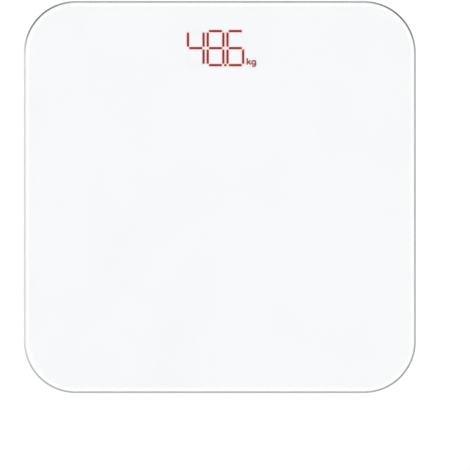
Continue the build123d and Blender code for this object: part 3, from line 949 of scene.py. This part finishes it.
@dataclass
class ReadingPanel(Assembly):
    """White print, and the bars of the reading under it."""

    digit_pitch: float = 14.14
    digit_width: float = 11.17
    digit_height: float = 24.35
    bar_width: float = 1.6
    bar_end_gap: float = 0.25
    bar_side_gap: float = 0.12
    bar_round: float = 0.4
    bar_round_steps: int = 4
    point_size: float = 1.6
    point_offset: float = 7.05
    core: Tone = (0.15, 0.012, 0.018)
    core_inset: float = 0.38
    core_fade: float = 0.40
    # Painted light: the pink of the reading's glow, tinted into the print round the bars, and how far it
    # fades.
    painted_glow: Tone = (0.965, 0.765, 0.755)
    painted_glow_fade: float = 1.4
    digits: tuple[tuple[Bar, ...], ...] = (
        (Bar.UPPER_LEFT, Bar.UPPER_RIGHT, Bar.MIDDLE, Bar.LOWER_RIGHT),
        tuple(Bar),
        tuple(bar for bar in Bar if bar is not Bar.UPPER_RIGHT),
    )

    def bars(self) -> Iterator[FlatBar]:
        """Lays out the lit bars and the decimal point.

        Yields:
            Centre and size of each.
        """
        low, high = in_mm(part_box("display_bars_lit"))
        reach = (self.digit_height + self.bar_width) / 2
        middle = ((low[0] + high[0]) / 2, high[1] - reach)
        upright = (self.bar_width, self.digit_height / 2 - self.bar_width - 2 * self.bar_end_gap)
        level = (self.digit_width - self.bar_width - 2 * self.bar_side_gap, self.bar_width)
        for number, digit in enumerate(self.digits):
            centre = middle[0] + (number - len(self.digits) // 2) * self.digit_pitch
            for bar in digit:
                run, rise = bar.value
                place = (centre + run * self.digit_width / 2, middle[1] + rise * self.digit_height / 2)
                yield place, upright if bar.upright else level
        point = (middle[0] + self.point_offset, middle[1] - self.digit_height / 2)
        yield point, (self.point_size, self.point_size)

    def reading(self) -> Mesh:
        """Makes the lit bars with their rounded ends.

        Returns:
            The mesh of the reading.
        """
        low, high = in_mm(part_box("display_bars_lit"))
        shape = bmesh.new()
        for place, size in self.bars():
            loft_rings([rounded_ring(place, size, self.bar_round, height, self.bar_round_steps)
                        for height in (low[2], high[2])], shape)
        return as_mesh(shape, "lit_reading")

    def build(self) -> None:
        """Makes the reading, deepest along its bars, and paints the pink of its glow into the white print and
        the unlit bars round it.
        """
        inset = 2 * self.core_inset
        cores = tuple((place, (width - inset, depth - inset)) for place, (width, depth) in self.bars())
        lit = replace(Shelf.LIT, tint=BarTint(cores, self.core, self.core_fade))
        # Painted light: the reading's glow tinted into the print and the unlit bars.
        painted_glow = BarTint(tuple(self.bars()), self.painted_glow, self.painted_glow_fade)
        self.dress(replace(Shelf.FILM, tint=painted_glow), "backing_film")
        self.dress(replace(Shelf.UNLIT, tint=painted_glow), "display_bars_dark")
        self.dress(Shelf.REFLECTOR, "display_block")
        self.add("lit_reading", self.reading(), (lit,), "lit_red", node="display_bars_lit")


@dataclass(frozen=True)
class Line:
    """A straight pen stroke."""

    start: Place
    end: Place
    closed: bool = False

    def points(self) -> list[Place]:
        """Its two ends."""
        return [self.start, self.end]


@dataclass(frozen=True)
class Arc:
    """A round pen stroke, by its centre and its first and last angle in degrees."""

    centre: Place
    radius: float
    first: float = 0.0
    last: float = FULL_TURN
    steps: int = 24

    @property
    def closed(self) -> bool:
        """Whether the stroke is a full ring."""
        return abs(self.last - self.first) >= FULL_TURN

    def points(self) -> list[Place]:
        """Walks along the arc.

        Returns:
            Its points, the first one only once on a full ring.
        """
        step = math.radians(self.last - self.first) / self.steps
        count = self.steps if self.closed else self.steps + 1
        turns = [math.radians(self.first) + step * number for number in range(count)]
        return [on_circle(self.centre, self.radius, turn) for turn in turns]


@dataclass
class UnitMark(Assembly):
    """Lens beside the digits with the lit letters of the unit, drawn from its middle."""

    pen: float = 1.15
    rise: float = 0.015
    strokes: tuple[Line | Arc, ...] = (
        Line((-3.32, -1.55), (-3.32, 3.1)),
        Line((-3.12, -0.1), (-0.97, 1.5)),
        Line((-2.42, 0.45), (-0.72, -1.5)),
        Arc((1.3, 0.05), 1.25),
        Line((2.57, 1.6), (2.57, -1.45)),
        Arc((1.32, -1.45), 1.25, 0.0, -150.0),
    )

    def ribbon(self, stroke: Line | Arc, middle: Point) -> Shape:
        """Makes a stroke as a flat ribbon of the pen's width.

        Args:
            stroke: The stroke.
            middle: The middle of the lens, at its top.

        Returns:
            The ribbon, half sunk in the lens.
        """
        points = stroke.points()
        last = len(points) - 1
        corners = ((-1, -1), (1, -1), (1, 1), (-1, 1))
        rings = []
        for number, (x, y) in enumerate(points):
            before = points[number - 1 if stroke.closed else max(number - 1, 0)]
            after = points[(number + 1) % len(points) if stroke.closed else min(number + 1, last)]
            run, lift = after[0] - before[0], after[1] - before[1]
            half = self.pen / 2 / math.hypot(run, lift)
            rings.append([(middle[0] + x + hand * lift * half, middle[1] + y - hand * run * half,
                           middle[2] + level * self.rise) for hand, level in corners])
        shape = bmesh.new()
        loft_rings(rings, shape, stroke.closed)
        bmesh.ops.recalc_face_normals(shape, faces=shape.faces)
        return shape

    def letters(self) -> Mesh:
        """Draws the letters.

        Returns:
            The mesh of their strokes, joined where they cross.
        """
        low, high = in_mm(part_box("unit_lens"))
        middle = ((low[0] + high[0]) / 2, (low[1] + high[1]) / 2, high[2])
        return united([self.ribbon(stroke, middle) for stroke in self.strokes], "unit_mark")

    def build(self) -> None:
        """Makes the letters and finishes the lens."""
        self.dress(Shelf.UNLIT, "unit_lens")
        self.add("unit_mark", self.letters(), (Shelf.UNIT,), "lit_red")


@dataclass
class TrayShell(Assembly):
    """Moulded tray and the foam tape that bonds the glass to it."""

    platform_corner: float = PLATFORM_CORNER
    tape_width: float = 5.5
    tape_round: float = 0.28
    round_steps: int = 4
    corner_steps: int = 20
    hold: float = 0.02

    def tape(self) -> Mesh:
        """Makes the ring of foam tape with its soft edges.

        Returns:
            The mesh of the tape.
        """
        low, high = in_mm(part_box("bonding_tape"))
        setback = in_mm(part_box("glass_platform"))[1][0] - high[0]
        section = [(self.tape_width, low[2]), (0.0, low[2]), (0.0, high[2]), (self.tape_width, high[2])]
        rounded = softened([(spot, self.tape_round) for spot in section], self.round_steps, self.hold, True)
        rings = inset_rings((high[0] - low[0], high[1] - low[1]), self.platform_corner - setback,
                            rounded, self.corner_steps)
        shape = bmesh.new()
        for face in loft_rings(rings, shape, closed=True):
            face.smooth = True
        return as_mesh(shape, "foam_tape")

    def build(self) -> None:
        """Finishes the tray and makes its tape."""
        self.dress(Shelf.TRAY, "base_tray")
        self.add("foam_tape", self.tape(), (Shelf.TAPE,), "foam_tape", node="bonding_tape")


@dataclass
class FootSet(Assembly):
    """Four captive feet with their soft pads."""

    edge_round: float = 0.5
    groove_radius: float = 8.0
    groove_width: float = 2.4
    groove_depth: float = 0.6
    groove_round: float = 0.25
    round_steps: int = 5
    turn_steps: int = 72
    hold: float = 0.03

    def pad(self, node: str, name: str) -> Mesh:
        """Turns a pad with rounded edges and a ring groove in its sole.

        Args:
            node: Node of the pad's solid.
            name: Name of the mesh.

        Returns:
            The mesh of the pad, in its place.
        """
        low, high = in_mm(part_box(node))
        middle = ((low[0] + high[0]) / 2, (low[1] + high[1]) / 2)
        edge = (high[0] - low[0]) / 2
        inner, outer = self.groove_radius, self.groove_radius + self.groove_width
        sole, deep = low[2], low[2] + self.groove_depth
        profile = softened([
            ((inner / 2, sole), 0.0),
            ((inner, sole), self.groove_round),
            ((inner, deep), self.groove_round),
            ((outer, deep), self.groove_round),
            ((outer, sole), self.groove_round),
            ((edge, sole), self.edge_round),
            ((edge, high[2]), 0.0),
        ], self.round_steps, self.hold)
        shape = bmesh.new()
        rings = [circle_ring(middle, radius, height, self.turn_steps) for radius, height in profile]
        for face in loft_rings(rings, shape):
            face.smooth = True
        return as_mesh(shape, name)

    def build(self) -> None:
        """Finishes every foot and makes its pad."""
        for corner in Corner:
            self.dress(Shelf.FOOT, "foot_cap_" + corner.value)
            node, name = "foot_pad_" + corner.value, "soft_pad_" + corner.value
            self.add(name, self.pad(node, name), (Shelf.PAD,), "pad_rubber", "foot_" + corner.value, node)


@dataclass
class SensorSet(Assembly):
    """Load cells with their brackets, gauges and ribbons."""

    def build(self) -> None:
        """Finishes what belongs to each load cell."""
        for corner in Corner:
            self.dress(Shelf.BRACKET, "sensor_bracket_" + corner.value)
            self.dress(Shelf.STEEL, "load_cell_" + corner.value)
            self.dress(Shelf.RIBBON, "cell_wires_" + corner.value)
        self.dress(Shelf.GAUGE, "strain_gauges")
        self.dress(Shelf.SILICONE, "gauge_covers")


@dataclass
class BoardStack(Assembly):
    """Main board with what is soldered and screwed to it, and the unit button."""

    contact_count: int = 12
    contact_pitch: float = 0.5
    contact_width: float = 0.26
    contact_length: float = 3.6
    contact_rise: float = 0.03
    contact_round: float = 0.1
    contact_round_steps: int = 3
    contact_setback: float = 0.5
    tongue_thickness: float = 0.7

    def contacts(self) -> Mesh:
        """Makes the rows of flat contacts on both faces of the socket's tongue.

        Returns:
            The mesh of the contacts, half sunk in the tongue.
        """
        low, high = in_mm(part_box("socket_tongue"))
        middle = (low[0] + high[0]) / 2
        level = (low[2] + high[2]) / 2
        front = high[1] - self.contact_setback - self.contact_length / 2
        size = (self.contact_width, self.contact_length)
        shape = bmesh.new()
        for number in range(self.contact_count):
            x = middle + (number - (self.contact_count - 1) / 2) * self.contact_pitch
            for face in (-1, 1):
                start = level + face * self.tongue_thickness / 2
                heights = (start - self.contact_rise, start + self.contact_rise)
                loft_rings([rounded_ring((x, front), size, self.contact_round, height,
                                         self.contact_round_steps) for height in heights], shape)
        return as_mesh(shape, "socket_contacts")

    def build(self) -> None:
        """Finishes the board's pieces and adds the socket's contacts."""
        self.dress(Shelf.BOARD, "main_board")
        self.dress(Shelf.PLATED, "board_screws", "charging_socket")
        self.dress(Shelf.EPOXY, "measuring_chip", "charger_chip")
        self.dress(Shelf.CERAMIC, "board_passives")
        self.dress(Shelf.WHITE_NYLON, "cell_headers", "cell_plugs", "battery_header", "battery_plug")
        self.dress(Shelf.NYLON, "unit_switch", "switch_plunger", "socket_tongue")
        self.dress(Shelf.BUTTON, "unit_button")
        self.add("socket_contacts", self.contacts(), (Shelf.GOLD,), "plated_steel")


@dataclass
class BatteryPack(Assembly):
    """Rechargeable pouch with its guard, foam and leads."""

    def build(self) -> None:
        """Finishes the pack's pieces."""
        self.dress(Shelf.POUCH, "battery_cell")
        self.dress(Shelf.AMBER, "battery_guard")
        self.dress(Shelf.FOAM, "battery_pad")
        self.dress(Shelf.LEAD, "battery_leads")


@dataclass
class Studio:
    """Pale floor, soft light and the camera."""

    floor_reach: float = 4000.0
    floor_drop: float = 0.1
    floor_steps: int = 96
    sun_strength: float = 1.5
    sun_angle: float = 4.0
    sun_lean: float = 12.0
    horizon: float = 0.85
    zenith: float = 0.40
    side_gain: float = 0.4
    lens: float = 200.0
    eye: Point = (10.87, -27.1, 1887.0)

    def floor(self) -> None:
        """A round floor under the feet."""
        shape = bmesh.new()
        bmesh.ops.create_circle(shape, cap_ends=True, segments=self.floor_steps, radius=self.floor_reach * MM)
        bmesh.ops.translate(shape, verts=shape.verts, vec=(0.0, 0.0, -self.floor_drop * MM))
        mesh = as_mesh(shape, "studio_floor")
        mesh.materials.append(Shelf.FLOOR.material())
        floor = placed("studio_floor", mesh)

    def sun(self) -> None:
        """A soft lamp from above that leans a little to the left."""
        lamp = bpy.data.lights.new("soft_lamp", "SUN")
        lamp.energy = self.sun_strength
        lamp.angle = math.radians(self.sun_angle)
        holder = placed("soft_lamp", lamp)
        holder.rotation_euler = (0.0, -math.radians(self.sun_lean), 0.0)
        holder.visible_glossy = False

    def sky(self) -> None:
        """White where it is seen, and otherwise a plain soft dome, a little brighter on the left."""
        world = bpy.data.worlds.new("studio_dome")
        bpy.context.scene.world = world
        world.use_nodes = True
        graph = NodeGraph(world.node_tree)
        across, _, up = graph.split(graph.add("ShaderNodeTexCoord").outputs["Generated"])
        level = graph.add("ShaderNodeMapRange", {"Value": up, "To Min": self.horizon, "To Max": self.zenith})
        side = graph.math("ADD", graph.math("MULTIPLY", across, -self.side_gain), 1.0)
        strength = graph.math("MULTIPLY", level.outputs["Result"], side)
        dome = graph.add("ShaderNodeBackground", {"Color": WHITE, "Strength": strength})
        plain = graph.add("ShaderNodeBackground", {"Color": WHITE})
        shown = graph.choose(graph.seen(), dome.outputs[0], plain.outputs[0])
        graph.add("ShaderNodeOutputWorld", {"Surface": shown})

    def camera(self) -> None:
        """A long lens straight above the glass, with the display end up."""
        data = bpy.data.cameras.new("camera")
        data.lens = self.lens
        camera = placed("camera", data)
        camera.location = [value * MM for value in self.eye]
        bpy.context.scene.camera = camera

    def build(self) -> None:
        """Sets the stage."""
        bpy.context.scene.view_settings.view_transform = "Standard"
        self.floor()
        self.sun()
        self.sky()
        self.camera()


def main() -> None:
    """Builds every group of pieces in order, then the studio."""
    logging.basicConfig(level=logging.INFO, format="%(name)s: %(message)s")
    groups: tuple[Assembly, ...] = (
        GlassTop(), ReadingPanel(), UnitMark(), TrayShell(),
        FootSet(), SensorSet(), BoardStack(), BatteryPack(),
    )
    for group in groups:
        group.build()
        LOG.info("%s done", type(group).__name__)
    Studio().build()


if __name__ == "__main__":
    main()
